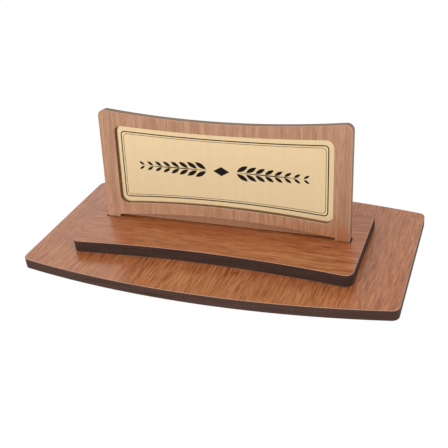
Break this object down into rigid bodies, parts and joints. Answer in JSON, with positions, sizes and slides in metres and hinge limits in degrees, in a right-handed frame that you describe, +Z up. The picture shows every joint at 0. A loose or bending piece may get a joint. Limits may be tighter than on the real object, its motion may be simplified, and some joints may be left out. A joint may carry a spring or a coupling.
{
  "type": "desk name plate",
  "caption": "Desk name plate of veneered board: a bowed base, a hollow-edged step on it and a framed gold name sheet that leans back and lifts out of slots.",
  "frame": {"origin": "middle of the underside, which rests on the desk", "axes": "+X to the reader's right along the width, +Y to the back, +Z up"},
  "size_m": [0.25, 0.1352, 0.0902],
  "materials": {
    "base_veneer": "satin lacquered veneer, grain front to back",
    "step_veneer": "satin lacquered veneer, grain side to side",
    "panel_veneer": "satin lacquered veneer, grain upright",
    "cut_board": "dark laser-cut fibreboard edge",
    "gold_film": "satin metallised gold film",
    "dark_plastic": "matt",
    "adhesive": "double-sided adhesive sheet"
  },
  "bodies": {
    "stand": {"base_bottom_veneer": "base_veneer", "base_core": "cut_board", "base_top_veneer": "base_veneer", "step_bottom_veneer": "step_veneer", "step_core": "cut_board", "step_top_veneer": "step_veneer"},
    "panel": {"backing_rear_veneer": "panel_veneer", "backing_core": "cut_board", "backing_front_veneer": "panel_veneer", "frame_back_veneer": "panel_veneer", "frame_core": "cut_board", "frame_front_veneer": "panel_veneer", "name_sheet_adhesive": "adhesive", "name_sheet_core": "dark_plastic", "name_sheet_face": "gold_film"}
  },
  "joints": [
    {"name": "panel_lift", "type": "slide", "parent": "stand", "child": "panel", "axis": [0, 0.1392, 0.9903], "range_m": [0, 0.03]}
  ]
}
